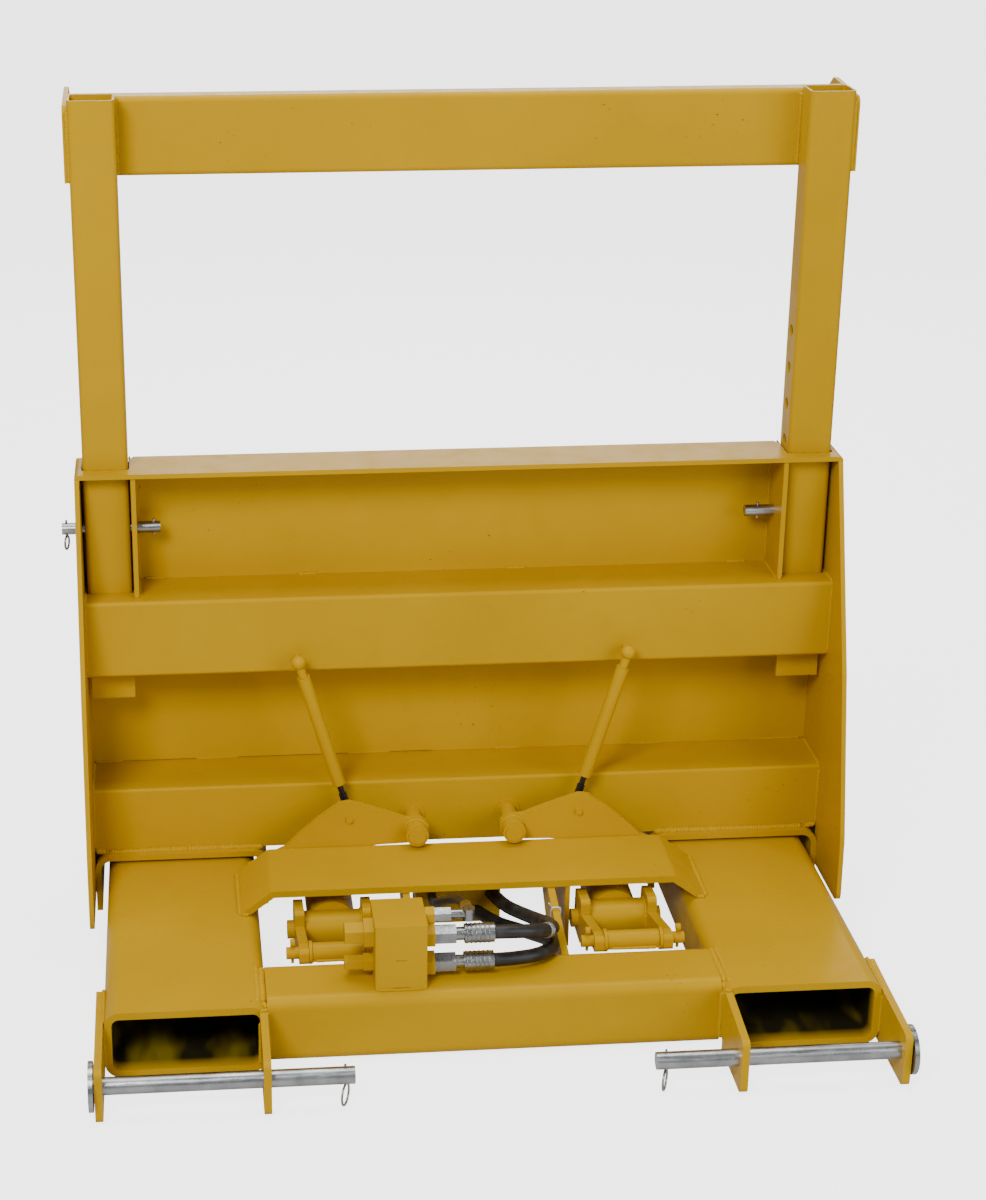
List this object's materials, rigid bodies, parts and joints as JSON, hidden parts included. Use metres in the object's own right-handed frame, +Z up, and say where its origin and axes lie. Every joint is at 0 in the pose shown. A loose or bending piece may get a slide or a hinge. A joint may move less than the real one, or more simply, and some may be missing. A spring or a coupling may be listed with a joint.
{
  "type": "forklift bin dumper attachment",
  "caption": "Fork-mounted frame that tips a bin forward: fork pockets, hinged tines and back frame, lift cylinders, bin latches and a height-adjustable top hoop.",
  "frame": {"origin": "on the ground, midway between the fork pockets, at their truck-side ends", "axes": "+X to the driver's right, +Y away from the truck towards the load, +Z up"},
  "size_m": [1.065, 1.382, 1.134],
  "materials": {
    "ochre_paint": "semi-gloss",
    "zinc_plate": "satin",
    "hose_rubber": "matt",
    "chrome_rod": "polished",
    "black_steel": "satin"
  },
  "bodies": {
    "base": {"left_fork_pocket": "ochre_paint", "right_fork_pocket": "ochre_paint", "cross_tube": "ochre_paint", "bridge_plate": "ochre_paint", "front_tie_bar": "ochre_paint", "hinge_blocks": "ochre_paint", "hinge_pins": "zinc_plate", "left_heel_ears": "ochre_paint", "right_heel_ears": "ochre_paint", "valve_block": "ochre_paint", "valve_caps": "ochre_paint", "port_adapters": "ochre_paint", "hose_fittings": "zinc_plate", "pressure_hose": "hose_rubber", "return_hose": "hose_rubber", "pilot_hose": "hose_rubber", "flow_divider": "ochre_paint", "stiffeners": "ochre_paint", "yoke_bushes": "ochre_paint", "yoke_pins": "ochre_paint", "yoke_washers_and_cotters": "ochre_paint"},
    "tilt_frame": {"upper_back_plate": "ochre_paint", "mid_beam": "ochre_paint", "lower_channel": "ochre_paint", "mid_back_plate": "ochre_paint", "post_guides": "ochre_paint", "left_side_plate": "ochre_paint", "right_side_plate": "ochre_paint", "left_tine": "ochre_paint", "right_tine": "ochre_paint", "torsion_tube": "ochre_paint", "left_post": "ochre_paint", "right_post": "ochre_paint", "crossbar": "ochre_paint", "retaining_plates": "ochre_paint", "latch_bushes": "ochre_paint", "ball_studs": "ochre_paint"},
    "left_cylinder": {"left_yoke": "ochre_paint", "left_cylinder_barrel": "ochre_paint", "left_cylinder_gland": "ochre_paint"},
    "left_rod": {"left_cylinder_rod": "chrome_rod"},
    "left_latch": {"left_latch_lever": "ochre_paint", "left_latch_shaft": "ochre_paint"},
    "left_gas_tube": {"left_gas_spring_tube": "ochre_paint"},
    "left_gas_rod": {"left_gas_spring_rod": "black_steel"},
    "left_heel_pin": {"left_heel_pin": "zinc_plate"},
    "left_heel_clip": {"left_heel_clip": "zinc_plate"},
    "left_socket_pin": {"left_socket_pin": "zinc_plate"},
    "left_socket_ring": {"left_socket_ring": "zinc_plate"},
    "right_cylinder": {"right_yoke": "ochre_paint", "right_cylinder_barrel": "ochre_paint", "right_cylinder_gland": "ochre_paint"},
    "right_rod": {"right_cylinder_rod": "chrome_rod"},
    "right_latch": {"right_latch_lever": "ochre_paint", "right_latch_shaft": "ochre_paint"},
    "right_gas_tube": {"right_gas_spring_tube": "ochre_paint"},
    "right_gas_rod": {"right_gas_spring_rod": "black_steel"},
    "right_heel_pin": {"right_heel_pin": "zinc_plate"},
    "right_heel_clip": {"right_heel_clip": "zinc_plate"},
    "right_socket_pin": {"right_socket_pin": "zinc_plate"}
  },
  "joints": [
    {"name": "frame_tilt", "type": "hinge", "parent": "base", "child": "tilt_frame", "pos_m": [0, 1.228, 0.046], "axis": [-1, 0, 0], "range_deg": [0, 110]},
    {"name": "left_cylinder_swing", "type": "hinge", "parent": "base", "child": "left_cylinder", "pos_m": [-0.1915, 0.118, 0.099], "axis": [1, 0, 0], "range_deg": [-0.5, 2.2]},
    {"name": "left_cylinder_stroke", "type": "slide", "parent": "left_cylinder", "child": "left_rod", "axis": [0, 0.9998, 0.0195], "range_m": [0, 0.165]},
    {"name": "left_latch_turn", "type": "hinge", "parent": "tilt_frame", "child": "left_latch", "pos_m": [-0.067, 0.386, 0.146], "axis": [0, -1, 0], "range_deg": [0, 8.5]},
    {"name": "left_gas_spring_swing", "type": "hinge", "parent": "tilt_frame", "child": "left_gas_tube", "pos_m": [-0.225, 0.3915, 0.388], "axis": [0, 1, 0], "range_deg": [0, 1.6]},
    {"name": "left_gas_spring_stroke", "type": "slide", "parent": "left_gas_tube", "child": "left_gas_rod", "axis": [0.285, 0, -0.9585], "range_m": [0, 0.014]},
    {"name": "left_heel_pin_slide", "type": "slide", "parent": "base", "child": "left_heel_pin", "axis": [-1, 0, 0], "range_m": [0, 0.07]},
    {"name": "left_heel_clip_turn", "type": "hinge", "parent": "left_heel_pin", "child": "left_heel_clip", "pos_m": [-0.198, -0.085, 0.042], "axis": [0, 0, 1], "range_deg": [-60, 60]},
    {"name": "left_socket_pin_slide", "type": "slide", "parent": "tilt_frame", "child": "left_socket_pin", "axis": [1, 0, 0], "range_m": [-0.004, 0.004]},
    {"name": "left_socket_ring_turn", "type": "hinge", "parent": "left_socket_pin", "child": "left_socket_ring", "pos_m": [-0.531, 0.4784, 0.558], "axis": [0, 0, 1], "range_deg": [-60, 60]},
    {"name": "right_cylinder_swing", "type": "hinge", "parent": "base", "child": "right_cylinder", "pos_m": [0.1915, 0.118, 0.099], "axis": [1, 0, 0], "range_deg": [-0.5, 2.2]},
    {"name": "right_cylinder_stroke", "type": "slide", "parent": "right_cylinder", "child": "right_rod", "axis": [0, 0.9998, 0.0195], "range_m": [0, 0.165]},
    {"name": "right_latch_turn", "type": "hinge", "parent": "tilt_frame", "child": "right_latch", "pos_m": [0.067, 0.386, 0.146], "axis": [0, 1, 0], "range_deg": [0, 8.5]},
    {"name": "right_gas_spring_swing", "type": "hinge", "parent": "tilt_frame", "child": "right_gas_tube", "pos_m": [0.225, 0.3915, 0.388], "axis": [0, -1, 0], "range_deg": [0, 1.6]},
    {"name": "right_gas_spring_stroke", "type": "slide", "parent": "right_gas_tube", "child": "right_gas_rod", "axis": [-0.285, 0, -0.9585], "range_m": [0, 0.014]},
    {"name": "right_heel_pin_slide", "type": "slide", "parent": "base", "child": "right_heel_pin", "axis": [1, 0, 0], "range_m": [0, 0.07]},
    {"name": "right_heel_clip_turn", "type": "hinge", "parent": "right_heel_pin", "child": "right_heel_clip", "pos_m": [0.198, -0.085, 0.042], "axis": [0, 0, 1], "range_deg": [-60, 60]},
    {"name": "right_socket_pin_slide", "type": "slide", "parent": "tilt_frame", "child": "right_socket_pin", "axis": [1, 0, 0], "range_m": [-0.004, 0.004]}
  ],
  "couplings": [
    {"joint": "left_cylinder_swing", "follows": "frame_tilt", "ratio": 0.01493},
    {"joint": "left_cylinder_stroke", "follows": "frame_tilt", "m_per_rad": 0.08323},
    {"joint": "left_latch_turn", "follows": "frame_tilt", "ratio": 0.072727},
    {"joint": "left_gas_spring_swing", "follows": "frame_tilt", "ratio": 0.011792},
    {"joint": "left_gas_spring_stroke", "follows": "frame_tilt", "m_per_rad": 0.006242},
    {"joint": "right_cylinder_swing", "follows": "frame_tilt", "ratio": 0.01493},
    {"joint": "right_cylinder_stroke", "follows": "frame_tilt", "m_per_rad": 0.08323},
    {"joint": "right_latch_turn", "follows": "frame_tilt", "ratio": 0.072727},
    {"joint": "right_gas_spring_swing", "follows": "frame_tilt", "ratio": 0.011792},
    {"joint": "right_gas_spring_stroke", "follows": "frame_tilt", "m_per_rad": 0.006242}
  ]
}
